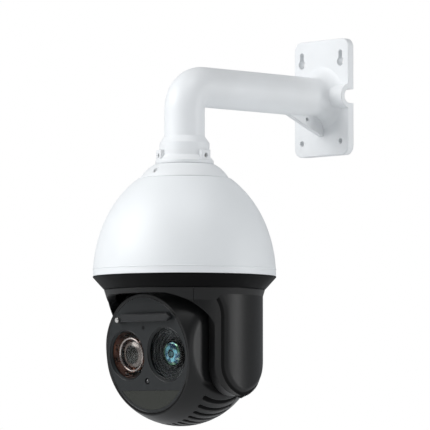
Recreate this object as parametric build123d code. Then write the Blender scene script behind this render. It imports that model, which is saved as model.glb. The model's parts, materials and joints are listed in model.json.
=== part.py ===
from build123d import *
import os
from math import asin, cos, degrees, radians, sin, sqrt

os.makedirs("parts", exist_ok=True)

# A pan-tilt-zoom dome camera hung under a cast wall bracket. Millimetres, +Z up.
# The origin is the centre of the wall plate's back face; the arm runs out along -Y,
# which is also where the camera looks. "Forward" is -Y and "right" is +X.

# ---- wall bracket ----
REACH = 256.0  # wall to the pan axis
PLATE_WIDTH = 98.0
PLATE_HEIGHT = 152.0
PLATE_THICKNESS = 10.0
PLATE_CORNER_R = 12.0
HOLE_SPACING_X = 70.0
HOLE_SPACING_Z = 116.0
WALL_HOLE_R = 3.5
KEYHOLE_R = 5.75
KEYHOLE_SLOT_R = 3.3
KEYHOLE_DROP = 12.0  # from the slot's end down to the round part
PIPE_R = 25.5
PIPE_BORE_R = 21.5
BEND_R = 30.0
ROOT_FLARE_R = 20.0
NOTCH_R = 9.2  # side cable exit
NOTCH_BOSS_R = 15.5
NOTCH_DEPTH = 7.5  # the notch's centre ahead of the wall
RIB_THICKNESS = 8.0
RIB_HOLE_R = 2.5
COLLAR_TOP_Z = -73.0
COLLAR_R = 31.5
COLLAR_BORE_R = 27.0
COLLAR_LOW_Z = -89.0
FLANGE_R = 36.7
FLANGE_TOP_Z = -94.7
FLANGE_LOW_Z = -99.8
PAD_R = 35.0  # flat screw pads on the collar
PAD_Z = -89.6
PAD_ANGLES = (7, 127, 247)
SET_SCREW_R = 2.9

# ---- fixed dome ----
RIM_Z = -241.0
DOME_R = 115.0
DOME_HEIGHT = 143.0  # vertical semi-axis of the dome's half ellipse
CAP_RISE = 140.9  # top of the neck cap above the rim
CAP_TOP_R = 38.0
CAP_LOW_R = 55.5
CAP_SCREW_Y = 49.0
CAP_SCREW_R = 1.6
SHIELD_WALL = 3.0
RIM_LIFT = 0.2  # shadow gap above the trim ring
HOUSING_GAP = 8.0  # from the sunshield's outside to the inner housing
HOUSING_WALL = 4.0
RING_LOW_R = 101.5
RING_HEIGHT = 16.2
RING_BORE_R = 99.6

# ---- pan body ----
TILT_Z = -333.0
YOKE_R = 96.0  # recessed arm shells and the arch
YOKE_BORE_R = 93.0
COVER_R = 98.5  # raised side covers
FLARE_R = 101.0
SHELL_TOP = 99.0  # heights here are above the tilt axis
FLARE_TOP = 75.0
FLARE_LOW = 66.8
ARCH_TOP = 69.0
ARCH_CORNER_R = 45.0
ARM_FRONT = -34.0
ARM_INNER_X = 79.5
ARM_WALL = 2.0
ARCH_AZIMUTH = 53.0  # where the arch meets the arm shells
ARM_END_AZIMUTH = 132.0  # where the arm shells meet the rear shell
COVER_FRONT = -18.5
COVER_REAR = 72.0
REAR_EDGE = -14.0
TURNTABLE_R = 94.0
TURNTABLE_LOW = 99.5
TURNTABLE_TOP = 104.5
YOKE_SCREW_R = 1.6
YOKE_SCREW_PLACES = [(x, y) for x in (-72, 72) for y in (-22, 32)]
HUB_R = 20.0
HUB_BORE_R = 14.0
PAN_PULLEY_R = 45.0
PAN_MOTOR_PULLEY_R = 9.0
PAN_MOTOR_Y = 60.0
BASE_LOW_Z = -206.0
BASE_TOP_Z = -202.0
BEARING_LOW_Z = -214.0

# ---- tilting ball ----
BALL_R = 95.5
BALL_AHEAD = 6.0  # tilt axis ahead of the pan axis
BALL_FLAT_X = 77.0
BALL_SHOULDER_R = 20.0
BALL_WALL = 3.0
FACE_AHEAD = 58.0  # face plane ahead of the tilt axis
FACE_R = 71.6
FACE_THICKNESS = 4.0
SEAM_BEHIND = 22.0
GASKET = 1.0
REST_TILT = 7.0  # the camera looks this far down at rest
FIN_PITCH = 9.8
FIN_SLOT_WIDTH = 5.6
FIN_SLOT_DEPTH = 8.5
FIN_FRONT = -35.0
SHAFT_R = 7.0
LENS_X = 34.0
LENS_OPENING_R = 34.5
LAMP_X = -37.5
LAMP_OPENING_R = 32.0
WIPER_X = -41.0
WIPER_Z = 45.0
WIPER_REACH = 94.0
WIPER_SHAFT_R = 3.0
SENSOR_PLACE = (-4.5, -33.0)
SCREW_PLACE = (-3.0, 34.0)
PANEL_TOP = -44.5
PANEL_R = 69.0

# ---- tilt drive, in the right arm ----
TILT_PULLEY_R = 12.5
TILT_MOTOR_PULLEY_R = 5.0
TILT_MOTOR_Y = 24.0
TILT_MOTOR_HEIGHT = 82.0
BELT_X = 85.0
BELT_WIDTH = 3.5

GAP = 0.3  # between pieces that only lie side by side
FIT = 0.05  # radial clearance of a shaft in its bearing

NECK = Pos(0, -REACH, 0)  # pan axis, heights from the arm's axis
PAN = Pos(0, -REACH, TILT_Z)  # pan axis, heights from the tilt axis
BALL = Pos(0, -REACH - BALL_AHEAD, TILT_Z) * Rot(REST_TILT, 0, 0)
FORWARD = Rot(90, 0, 0)  # turns local +Z to -Y


# ---- small building helpers ----
def save(name, shape):
    solids = shape.solids()
    export_step(solids[0] if len(solids) == 1 else Compound(children=list(solids)),
                f"parts/{name}.step")


def block(x, y, z):
    """A box from three (low, high) pairs."""
    size = [high - low for low, high in (x, y, z)]
    middle = [(low + high) / 2 for low, high in (x, y, z)]
    return Pos(*middle) * Box(*size)


def disc_z(radius, low, high, x=0.0, y=0.0):
    return Pos(x, y, (low + high) / 2) * Cylinder(radius, high - low)


def disc_x(radius, low, high, y=0.0, z=0.0):
    return Pos((low + high) / 2, y, z) * Rot(0, 90, 0) * Cylinder(radius, high - low)


def disc_y(radius, low, high, x=0.0, z=0.0):
    return Pos(x, (low + high) / 2, z) * Rot(90, 0, 0) * Cylinder(radius, high - low)


def spin(points):
    """A solid of revolution about Z from a closed outline of (radius, height) points."""
    face = Plane.XZ * make_face(Polyline(*points, close=True))
    return revolve(face, Axis.Z)


def tube_z(outer, inner, low, high, x=0.0, y=0.0):
    return disc_z(outer, low, high, x, y) - disc_z(inner, low - 1, high + 1, x, y)


def tube_y(outer, inner, low, high, x=0.0, z=0.0):
    return disc_y(outer, low, high, x, z) - disc_y(inner, low - 1, high + 1, x, z)


def tube_x(outer, inner, low, high, y=0.0, z=0.0):
    return disc_x(outer, low, high, y, z) - disc_x(inner, low - 1, high + 1, y, z)


def wedge(start, end, low=-90.0, high=120.0):
    """A pie slice about Z; angles run from forward (-Y) towards the right (+X)."""
    far = 200.0
    angles = [start + (end - start) * step / 4 for step in range(5)]
    rim = [(far * sin(radians(a)), -far * cos(radians(a))) for a in angles]
    face = make_face(Polyline((0, 0), *rim, close=True))
    return Pos(0, 0, low) * extrude(face, high - low)


def mirrored(shape):
    return mirror(shape, Plane.YZ)


def around(shape, count, start=0.0):
    """Copies of a shape turned about Z."""
    return [Rot(0, 0, start + 360 / count * index) * shape for index in range(count)]


def side_outline(points_and_arcs, x_low, x_high):
    """A solid between two X planes from a closed outline of curves in (y, z)."""
    face = Plane.YZ * make_face(points_and_arcs)
    return Pos(x_low, 0, 0) * extrude(face, x_high - x_low)


# ---- wall bracket ----
def bracket_drop():
    """Outside of the vertical pipe, its collar and its end flange, about the pan axis."""
    return spin([(0, -BEND_R), (PIPE_R, -BEND_R), (PIPE_R, -64.5), (COLLAR_R, COLLAR_TOP_Z),
                 (COLLAR_R, COLLAR_LOW_Z), (FLANGE_R - 0.8, FLANGE_TOP_Z),
                 (FLANGE_R, FLANGE_TOP_Z - 0.8), (FLANGE_R, FLANGE_LOW_Z + 0.8),
                 (FLANGE_R - 0.8, FLANGE_LOW_Z), (0, FLANGE_LOW_Z)])


def bracket_elbow(radius):
    section = Pos(0, BEND_R - REACH, 0) * (Plane.XZ * Circle(radius))
    return revolve(section, Axis((0, BEND_R - REACH, -BEND_R), (1, 0, 0)), 90)


def bracket_arm():
    """Straight pipe with the concave flare where it meets the plate."""
    foot = PIPE_R + ROOT_FLARE_R
    sunk = -PLATE_THICKNESS + 0.6  # the flare runs a little into the plate
    top = sunk - ROOT_FLARE_R
    bulge = ROOT_FLARE_R * (1 - sqrt(0.5))
    end = BEND_R - REACH
    arc = ThreePointArc((foot, sunk), (PIPE_R + bulge, sunk - bulge), (PIPE_R, top))
    rest = Polyline((PIPE_R, top), (PIPE_R, end), (0, end), (0, -1), (foot, -1), (foot, sunk))
    return revolve(make_face([arc, rest]), Axis.Y)


def bracket_rib():
    outline = Polyline((-74, -20), (-74, -24.5), (-12, -50), (-5, -50), (-5, -20), close=True)
    half = RIB_THICKNESS / 2
    hole = disc_x(RIB_HOLE_R, -10, 10, -40, -30)
    return side_outline(outline, -half, half) - hole


def bracket_plate():
    plate = extrude(Plane.XZ * RectangleRounded(PLATE_WIDTH, PLATE_HEIGHT, PLATE_CORNER_R),
                    PLATE_THICKNESS)
    front_rim = plate.faces().sort_by(Axis.Y)[0].edges()
    return fillet(front_rim, 1.5)


def wall_holes():
    low, high = -PLATE_THICKNESS - 5, 5
    cuts = []
    for side in (-1, 1):
        x = side * HOLE_SPACING_X / 2
        slot_z = HOLE_SPACING_Z / 2
        round_z = slot_z - KEYHOLE_DROP
        cuts.append(disc_y(WALL_HOLE_R, low, high, x, -HOLE_SPACING_Z / 2))
        cuts.append(disc_y(KEYHOLE_R, low, high, x, round_z))
        cuts.append(disc_y(KEYHOLE_SLOT_R, low, high, x, slot_z))
        cuts.append(block((x - KEYHOLE_SLOT_R, x + KEYHOLE_SLOT_R), (low, high), (round_z, slot_z)))
    return cuts


def wall_bracket():
    body = bracket_plate() + bracket_arm()
    body += bracket_elbow(PIPE_R)
    body += NECK * bracket_drop()
    body += bracket_rib()
    body += disc_x(NOTCH_BOSS_R, 10, PLATE_WIDTH / 2, -NOTCH_DEPTH)
    pad = block((24, PAD_R), (-8.5, 8.5), (-97.2, -82.5))
    pad_hole = disc_x(SET_SCREW_R + FIT, 20, 40, 0, PAD_Z)
    for angle in PAD_ANGLES:
        body += NECK * Rot(0, 0, angle) * pad
    body -= block((-80, 80), (0, 40), (-100, 100))  # nothing reaches behind the wall's face
    body -= disc_y(PIPE_BORE_R, BEND_R - REACH, 1)
    body -= bracket_elbow(PIPE_BORE_R)
    body -= NECK * disc_z(PIPE_BORE_R, FLANGE_LOW_Z - 1, -BEND_R)
    body -= NECK * disc_z(COLLAR_BORE_R, FLANGE_LOW_Z - 1, COLLAR_TOP_Z - 3)
    body -= disc_x(NOTCH_R, 15, 60, -NOTCH_DEPTH)
    body -= block((15, 60), (-NOTCH_DEPTH, 1), (-NOTCH_R, NOTCH_R))
    for angle in PAD_ANGLES:
        body -= NECK * Rot(0, 0, angle) * pad_hole
    for cut in wall_holes():
        body -= cut
    return body


def bracket_set_screws():
    screw = disc_x(SET_SCREW_R, COLLAR_BORE_R + 0.1, 32.5, 0, PAD_Z)
    screw -= disc_x(1.5, 29.5, 34, 0, PAD_Z)
    return NECK * Compound(children=[Rot(0, 0, angle) * screw for angle in PAD_ANGLES])


# ---- fixed dome, heights above the rim ----
DOME = Pos(0, -REACH, RIM_Z)


def dome_arc(shrink, low, high):
    """Stretch of the dome's ellipse between two heights, shrunk all round."""
    wide = DOME_R - shrink
    tall = DOME_HEIGHT - shrink
    start = degrees(asin(low / tall))
    end = degrees(asin(high / tall))
    return EllipticalCenterArc((0, 0), wide, tall, start_angle=start, arc_size=end - start)


def dome_skin(shrink, wall, low, high, hole_r):
    """Dome shell about Z with a flat top ring as thick as its wall, and a round hole in it."""
    outside = dome_arc(shrink, low, high)
    inside = dome_arc(shrink + wall, low, high - wall)
    top = Polyline(outside @ 1, (hole_r, high), (hole_r, high - wall), inside @ 1)
    foot = Line(inside @ 0, outside @ 0)
    return revolve(Plane.XZ * make_face([outside, top, inside, foot]), Axis.Z)


def cap_low_height():
    """Where the dome's ellipse is as wide as the neck cap's skirt."""
    return DOME_HEIGHT * sqrt(1 - (CAP_LOW_R / DOME_R) ** 2) - 1.0


def neck_cap():
    low = cap_low_height()
    middle = ((CAP_TOP_R + CAP_LOW_R) / 2 + 1.2, (CAP_RISE + low) / 2 + 1.2)
    slope = ThreePointArc((CAP_LOW_R, low), middle, (CAP_TOP_R, CAP_RISE))
    inside = Polyline((CAP_TOP_R, CAP_RISE), (COLLAR_BORE_R, CAP_RISE), (COLLAR_BORE_R, low - 8),
                      (33, low - 8), (33, low - 1), (CAP_LOW_R, low - 1), (CAP_LOW_R, low))
    body = revolve(Plane.XZ * make_face([slope, inside]), Axis.Z)
    hole = disc_z(3.4, 126.5, 150, 0, CAP_SCREW_Y) + disc_z(1.8, 100, 150, 0, CAP_SCREW_Y)
    for turned in around(hole, 2):
        body -= turned
    return DOME * body


def cap_screws():
    screw = disc_z(3.2, 126.7, 129.2, 0, CAP_SCREW_Y) + disc_z(CAP_SCREW_R, 112, 127, 0, CAP_SCREW_Y)
    screw -= disc_z(1.3, 127.9, 130, 0, CAP_SCREW_Y)  # socket
    return DOME * Compound(children=around(screw, 2))


def shield_top():
    """Flat top of the sunshield, just under the neck cap's skirt."""
    return cap_low_height() - 1.3


def sunshield():
    skin = dome_skin(0, SHIELD_WALL, RIM_LIFT, shield_top(), 35)
    for turned in around(disc_z(2.2, 90, 150, 0, CAP_SCREW_Y), 2):
        skin -= turned
    return DOME * skin


def inner_housing():
    top = shield_top() - SHIELD_WALL - GAP
    can = dome_skin(HOUSING_GAP, HOUSING_WALL, 2, top, 33.5)
    for turned in around(disc_z(CAP_SCREW_R + FIT, 90, 150, 0, CAP_SCREW_Y), 2):
        can -= turned
    return DOME * can


def trim_ring():
    ring = spin([(DOME_R + 0.2, -GAP), (DOME_R + 0.2, -GAP - 0.8), (RING_LOW_R, -RING_HEIGHT),
                 (RING_BORE_R, -RING_HEIGHT), (RING_BORE_R, 8), (102.5, 8),
                 (102.5, 1.5), (110, 1.5), (110, -GAP)])
    return DOME * ring


def neck_adapter():
    """Stub that the bracket's collar clamps: it screws into the neck cap and is bored for the cable."""
    return NECK * spin([(18, -77), (26.6, -77), (26.6, -117), (24.5, -119), (18, -119)])


def base_frame():
    plate = disc_z(92, BASE_LOW_Z, BASE_TOP_Z) - disc_z(30, BASE_LOW_Z - 1, BASE_TOP_Z + 1)
    rim = tube_z(95.8, 90, BASE_LOW_Z, BASE_LOW_Z + 8)
    plate += rim
    plate += tube_z(36, 30, BEARING_LOW_Z, BASE_TOP_Z)
    plate -= disc_z(12, BASE_LOW_Z - 1, BASE_TOP_Z + 1, 0, PAN_MOTOR_Y)
    return NECK * plate


def pan_bearing():
    return NECK * tube_z(30, HUB_R + FIT, BEARING_LOW_Z, BASE_TOP_Z)


def pan_motor():
    can = block((-17.5, 17.5), (PAN_MOTOR_Y - 17.5, PAN_MOTOR_Y + 17.5),
                (BASE_TOP_Z + 0.1, BASE_TOP_Z + 28))
    can = chamfer(can.edges().filter_by(Axis.Z), 3)
    spigot = disc_z(11, BASE_LOW_Z + 1, BASE_TOP_Z + 1, 0, PAN_MOTOR_Y)
    bore = disc_z(2.5 + FIT, BASE_LOW_Z - 1, BASE_TOP_Z + 6, 0, PAN_MOTOR_Y)
    return NECK * (can + spigot - bore)


def pulley(pitch_r, width, bore_r):
    """Belt pulley about Z from height 0, with a flange each side."""
    flange = 0.8
    wheel = disc_z(pitch_r - 1.0, 0, width)
    wheel += disc_z(pitch_r + 0.6, 0, flange) + disc_z(pitch_r + 0.6, width - flange, width)
    return wheel - disc_z(bore_r, -1, width + 1)


def belt_loop(r_one, r_two, distance, width):
    """Flat belt round two pulleys, one at the origin and one at +Y, about Z from height 0."""
    def loop(grow):
        lean = (r_one - r_two) / distance
        rise = sqrt(1 - lean * lean)
        corners = []
        for centre, radius in ((0.0, r_one + grow), (distance, r_two + grow)):
            corners.append((radius * rise, centre + radius * lean))
        (ax, ay), (bx, by) = corners
        arcs = [
            Line((ax, ay), (bx, by)),
            ThreePointArc((bx, by), (0, distance + r_two + grow), (-bx, by)),
            Line((-bx, by), (-ax, ay)),
            ThreePointArc((-ax, ay), (0, -r_one - grow), (ax, ay)),
        ]
        return extrude(make_face(arcs), width)
    return loop(1.1) - loop(0.1)


PAN_BELT_Z = -227.5  # underside of the pan pulleys
PAN_BELT_WIDTH = 8.0


def pan_motor_pulley():
    wheel = Pos(0, PAN_MOTOR_Y, PAN_BELT_Z) * pulley(PAN_MOTOR_PULLEY_R, PAN_BELT_WIDTH, 1)
    shaft = disc_z(2.5, PAN_BELT_Z, BASE_TOP_Z + 5, 0, PAN_MOTOR_Y)
    return NECK * (wheel + shaft)


def pan_belt():
    loop = belt_loop(PAN_PULLEY_R - 1, PAN_MOTOR_PULLEY_R - 1, PAN_MOTOR_Y, PAN_BELT_WIDTH - 2.4)
    return NECK * Pos(0, 0, PAN_BELT_Z + 1.2) * loop


STANDOFF_RING_R = 46.0
MAIN_BOARD_Z = -160.0
POWER_BOARD_Z = -142.0


def standoff_places():
    return [Rot(0, 0, angle) * Pos(STANDOFF_RING_R, 0, 0) for angle in (-25, 25, 155, 205)]


def board_standoffs():
    posts = []
    for place in standoff_places():
        lower = disc_z(3, BASE_TOP_Z, MAIN_BOARD_Z)
        upper = disc_z(3, MAIN_BOARD_Z + 1.6, POWER_BOARD_Z)
        posts += [NECK * place * lower, NECK * place * upper]
    return Compound(children=posts)


def main_board():
    board = disc_z(62, MAIN_BOARD_Z, MAIN_BOARD_Z + 1.6)
    board -= disc_z(14, MAIN_BOARD_Z - 1, MAIN_BOARD_Z + 3)
    board += block((-38, -18), (-30, -10), (MAIN_BOARD_Z + 1, MAIN_BOARD_Z + 4))
    board += block((18, 34), (-36, -24), (MAIN_BOARD_Z + 1, MAIN_BOARD_Z + 6))
    board += block((-10, 10), (-52, -38), (MAIN_BOARD_Z + 1, MAIN_BOARD_Z + 9))
    return NECK * board


def power_board():
    board = disc_z(54, POWER_BOARD_Z, POWER_BOARD_Z + 1.6)
    board += block((-30, -8), (-34, -12), (POWER_BOARD_Z + 1, POWER_BOARD_Z + 13))
    for x in (12, 26):
        board += disc_z(5.5, POWER_BOARD_Z + 1, POWER_BOARD_Z + 13, x, -24)
    return NECK * board


def slip_ring_stator():
    body = disc_z(13, -197, -172) + disc_z(8, -173, -166)
    legs = block((-34, 34), (-4, 4), (-199, -196.5))
    feet = [block((x - 4, x + 4), (-4, 4), (BASE_TOP_Z, -197)) for x in (-36, 36)]
    return NECK * (body + legs + feet[0] + feet[1])


# ---- pan body, heights above the tilt axis ----
def turntable():
    plate = disc_z(TURNTABLE_R, TURNTABLE_LOW, TURNTABLE_TOP)
    hub_top = BASE_TOP_Z + 1.5 - TILT_Z
    plate += disc_z(HUB_R, TURNTABLE_TOP - 1, hub_top)
    plate -= disc_z(HUB_BORE_R, TURNTABLE_LOW - 1, hub_top + 1)
    plate -= disc_z(7, TURNTABLE_LOW - 1, TURNTABLE_TOP + 1, -52, 36)
    plate -= disc_z(7, TURNTABLE_LOW - 1, TURNTABLE_TOP + 1, 52, 36)
    for x, y in YOKE_SCREW_PLACES:
        plate -= disc_z(YOKE_SCREW_R + FIT, TURNTABLE_LOW - 1, TURNTABLE_TOP + 1, x, y)
    return PAN * plate


def pan_pulley():
    low = PAN_BELT_Z - TILT_Z
    web_holes = around(disc_z(6, low - 1, low + PAN_BELT_WIDTH + 1, 31, 0), 6)
    wheel = Pos(0, 0, low) * pulley(PAN_PULLEY_R, PAN_BELT_WIDTH, HUB_R)
    for hole in web_holes:
        wheel -= hole
    return PAN * wheel


def slip_ring_rotor():
    return PAN * (disc_z(12.5, 102, 131) + disc_z(4, 130, 133.5))


def arm_region(front, knee, low, rear, high, curl=0.0):
    """Side outline of an arm as a solid along X: straight front edge, round sweep to its
    lowest point, long rise to the rear. curl carries the front edge forward at its top."""
    low_y, low_z = low
    rear_y, rear_z = rear
    bend = sqrt(0.5)
    front_mid = (low_y - (low_y - front) * bend, knee - (knee - low_z) * bend)
    rear_mid = (low_y + (rear_y - low_y) * 0.54, low_z + (rear_z - low_z) * 0.33)
    curves = [
        ThreePointArc((front, knee), front_mid, (low_y, low_z)),
        ThreePointArc((low_y, low_z), rear_mid, (rear_y, rear_z)),
        Line((rear_y, rear_z), (rear_y, high)),
    ]
    if curl:
        start = high - 30
        curves += [
            Line((rear_y, high), (front - curl, high)),
            ThreePointArc((front - curl, high), (front - curl * 0.27, high - 14), (front, start)),
            Line((front, start), (front, knee)),
        ]
    else:
        curves += [Line((rear_y, high), (front, high)), Line((front, high), (front, knee))]
    return side_outline(curves, 40, 120)


def inner_arm_region(shrink=0.0, high=SHELL_TOP):
    return arm_region(ARM_FRONT + shrink, -21.0, (3.0, -58.5 + shrink),
                      (COVER_REAR + 4 - shrink, REAR_EDGE - 3 + shrink), high)


def cover_region(shrink=0.0):
    high = FLARE_LOW - GAP
    return arm_region(COVER_FRONT + shrink, -18.0, (12.0, -51.0 + shrink),
                      (COVER_REAR - shrink, REAR_EDGE + shrink), high - shrink, 9.0)


def cover_pocket():
    """Room for a side cover where the flare would meet it."""
    return cover_region(-GAP) & (disc_z(COVER_R + 5, -90, 90) - disc_z(YOKE_R, -91, 91))


ARCH_INNER_R = 86  # inner face of the arch's underside


def arch_region(grow=0.0):
    """The camera opening seen from the front, as a solid along Y."""
    half = sqrt(YOKE_R ** 2 - ARM_FRONT ** 2) + grow
    top = ARCH_TOP + grow
    corner = ARCH_CORNER_R + grow
    bend = corner * (1 - sqrt(0.5))
    curves = [
        Line((-half, -100), (half, -100)),
        Line((half, -100), (half, top - corner)),
        ThreePointArc((half, top - corner), (half - bend, top - bend), (half - corner, top)),
        Line((half - corner, top), (corner - half, top)),
        ThreePointArc((corner - half, top), (bend - half, top - bend), (-half, top - corner)),
        Line((-half, top - corner), (-half, -100)),
    ]
    face = Plane.XZ * make_face(curves)
    return Pos(0, ARM_FRONT, 0) * extrude(face, 100)


def flared_wall(inside, foot):
    """Round wall of the yoke with the flare under the trim ring, for a given inner outline."""
    flare = ThreePointArc((YOKE_R, FLARE_LOW - 7), (COVER_R - 0.1, FLARE_LOW), (FLARE_R, FLARE_TOP))
    rest = Polyline((FLARE_R, FLARE_TOP), (98.2, FLARE_TOP), (98.2, SHELL_TOP), (95, SHELL_TOP),
                    (95, FLARE_TOP - 4), *inside, (YOKE_R, foot), (YOKE_R, FLARE_LOW - 7))
    return revolve(Plane.XZ * make_face([flare, rest]), Axis.Z)


def yoke_wall():
    return flared_wall([(YOKE_BORE_R, FLARE_TOP - 8), (YOKE_BORE_R, -90)], -90)


def arch_wall():
    """Thick front wall whose underside is the top of the camera opening."""
    wall = flared_wall([(ARCH_INNER_R, ARCH_TOP + 3), (ARCH_INNER_R, 20)], 20)
    return wall - arch_region()


def front_arch():
    half_angle = ARCH_AZIMUTH - 0.15
    return PAN * (arch_wall() & wedge(-half_angle, half_angle, 0))


def right_arm_shell():
    wall = yoke_wall() & inner_arm_region() & wedge(ARCH_AZIMUTH, ARM_END_AZIMUTH - 0.15)
    wall += arch_wall() & wedge(ARCH_AZIMUTH + 0.15, 90) & block((0, 110), (-110, ARM_FRONT + 2), (0, 110))
    wall -= cover_pocket()
    inner = inner_arm_region(0, 64) & block((ARM_INNER_X, ARM_INNER_X + ARM_WALL), (-90, 60), (-90, 90))
    edge = inner_arm_region(0, 64) - inner_arm_region(ARM_WALL, 90)
    edge = edge & block((ARM_INNER_X, 100), (-90, 60), (-90, 64))
    shell = wall + ((inner + edge) & disc_z(YOKE_BORE_R + 1, -90, 90))
    shell -= disc_x(17, 50, 84, -BALL_AHEAD)
    shell -= cover_region(7) & block((88 - 5, 120), (-90, 90), (-90, 90))
    return shell


def on_cylinder(edge, radius):
    """True if an edge lies on the cylinder of that radius about the pan axis."""
    points = [edge @ share for share in (0, 0.5, 1)]
    return all(abs(sqrt(p.X ** 2 + p.Y ** 2) - radius) < 0.05 for p in points)


def right_side_cover():
    skin = disc_z(COVER_R, -90, 90) - disc_z(YOKE_R + 0.2, -91, 91)
    cover = skin & cover_region()
    return fillet([edge for edge in cover.edges() if on_cylinder(edge, COVER_R)], 1.8)


def rear_shell():
    end = ARM_END_AZIMUTH
    wall = yoke_wall() & wedge(end + 0.15, 360 - end - 0.15, REAR_EDGE, SHELL_TOP)
    wall -= cover_pocket() + mirrored(cover_pocket())
    skin = disc_z(COVER_R, REAR_EDGE, FLARE_LOW) - disc_z(YOKE_R - 1, -90, 90)
    wall += skin & block((-100, 100), (COVER_REAR + GAP, 100), (-90, 90))
    return PAN * wall


def right_arm_bracket():
    plate = block((81.7, 84.2), (-30, 32), (0, TURNTABLE_LOW - 0.1)) & disc_z(92, -90, 120)
    plate += disc_x(18, 81.7, 84.2, -BALL_AHEAD)
    plate += block((66, 84), (-30, 40), (TURNTABLE_LOW - 3.1, TURNTABLE_LOW - 0.1)) & disc_z(92, 0, 120)
    plate -= disc_x(11, 60, 90, -BALL_AHEAD)
    plate -= disc_x(6.5, 60, 90, TILT_MOTOR_Y, TILT_MOTOR_HEIGHT)
    for x, y in YOKE_SCREW_PLACES:
        plate -= disc_z(YOKE_SCREW_R + FIT, 90, 120, x, y)
    return plate


def right_tilt_bearing():
    return tube_x(11, SHAFT_R + FIT, 81.7, 84.7, -BALL_AHEAD)


def tilt_motor():
    body = disc_x(12, 61.4, 81.5, TILT_MOTOR_Y, TILT_MOTOR_HEIGHT)
    body += disc_x(6, 80, 84, TILT_MOTOR_Y, TILT_MOTOR_HEIGHT)
    body -= disc_x(2 + FIT, 75, 90, TILT_MOTOR_Y, TILT_MOTOR_HEIGHT)
    return PAN * body


def tilt_motor_pulley():
    at = Pos(BELT_X, TILT_MOTOR_Y, TILT_MOTOR_HEIGHT) * Rot(0, 90, 0)
    wheel = at * pulley(TILT_MOTOR_PULLEY_R - 0.6, BELT_WIDTH, 1)
    return PAN * (wheel + disc_x(2, 76, BELT_X + 2, TILT_MOTOR_Y, TILT_MOTOR_HEIGHT))


def tilt_belt():
    across = TILT_MOTOR_Y + BALL_AHEAD
    distance = sqrt(across ** 2 + TILT_MOTOR_HEIGHT ** 2)
    loop = belt_loop(TILT_PULLEY_R - 1.6, TILT_MOTOR_PULLEY_R - 1.6, distance, BELT_WIDTH - 1.7)
    toward_motor = Plane((BELT_X + 0.85, -BALL_AHEAD, 0),
                         x_dir=(0, TILT_MOTOR_HEIGHT, -across), z_dir=(1, 0, 0))
    return PAN * (toward_motor * loop)


def yoke_board():
    board = block((-85.6, -84.6), (6, 34), (-38, 45))
    board += block((-86.6, -85), (11, 25), (5, 19))
    return PAN * board


def yoke_screws():
    screw = disc_z(YOKE_SCREW_R, TURNTABLE_LOW - 4, TURNTABLE_TOP + 0.1)
    screw += disc_z(2.8, TURNTABLE_TOP, TURNTABLE_TOP + 1.8)
    return PAN * Compound(children=[Pos(x, y, 0) * screw for x, y in YOKE_SCREW_PLACES])


# ---- tilting ball: local -Y is the optical axis, the tilt axis is local X ----
def ball_solid(shrink=0.0):
    """Sphere flattened at both sides, with round shoulders, shrunk all round."""
    radius = BALL_R - shrink
    flat = BALL_FLAT_X - shrink
    shoulder = BALL_SHOULDER_R - shrink
    centre_x = flat - shoulder
    reach = radius - shoulder
    centre_y = sqrt(reach ** 2 - centre_x ** 2)
    meet = (centre_x * radius / reach, centre_y * radius / reach)
    half = [
        ThreePointArc((0, radius), (radius * 0.4, radius * sqrt(1 - 0.16)), meet),
        ThreePointArc(meet, (centre_x + shoulder * 0.94, centre_y + shoulder * sqrt(1 - 0.94 ** 2)),
                      (flat, centre_y)),
        Polyline((flat, centre_y), (flat, 0), (0, 0), (0, radius)),
    ]
    right = revolve(make_face(half), Axis.X)
    return right + mirrored(right)


def fin_slots():
    """Straight cooling slots along the underside, each as deep all along."""
    slots = []
    length = SEAM_BEHIND + 20 - FIN_FRONT
    for index in range(-7, 8):
        plan = SlotOverall(length, FIN_SLOT_WIDTH, rotation=90)
        slot = Pos(index * FIN_PITCH, FIN_FRONT + length / 2, -110) * extrude(plan, 100)
        slots.append(slot)
    return slots


def module_front():
    span = block((-100, 100), (-FACE_AHEAD, SEAM_BEHIND), (-100, 100))
    shell = (ball_solid() - ball_solid(BALL_WALL)) & span
    sink = (ball_solid(1) - ball_solid(FIN_SLOT_DEPTH + 3)) & block(
        (-74, 74), (FIN_FRONT - 4, SEAM_BEHIND), (-100, -40))
    shell += sink
    ledge_front = -FACE_AHEAD + FACE_THICKNESS + 0.2
    ledge = tube_y(90, 67.5, ledge_front, ledge_front + 3) & ball_solid(1)
    ledge -= disc_y(33, -60, -40, LENS_X) + disc_y(32, -60, -40, LAMP_X)
    shell += ledge
    core = ball_solid(FIN_SLOT_DEPTH)
    for slot in fin_slots():
        shell -= slot - core
    shell -= disc_x(SHAFT_R, -90, 90)
    return BALL * shell


def module_rear():
    span = block((-100, 100), (SEAM_BEHIND + GASKET, 100), (-100, 100))
    return BALL * ((ball_solid() - ball_solid(BALL_WALL)) & span)


def module_gasket():
    span = block((-100, 100), (SEAM_BEHIND + 0.02, SEAM_BEHIND + GASKET - 0.02), (-100, 100))
    return BALL * ((ball_solid(0.8) - ball_solid(BALL_WALL)) & span)


def lower_panel(shrink, depth_from, depth_to):
    """D-shaped panel low on the face, between two depths ahead of the tilt axis."""
    disc = disc_y(PANEL_R - shrink, -depth_to, -depth_from)
    return disc & block((-60, 60), (-100, 0), (-80, PANEL_TOP - shrink))


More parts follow.
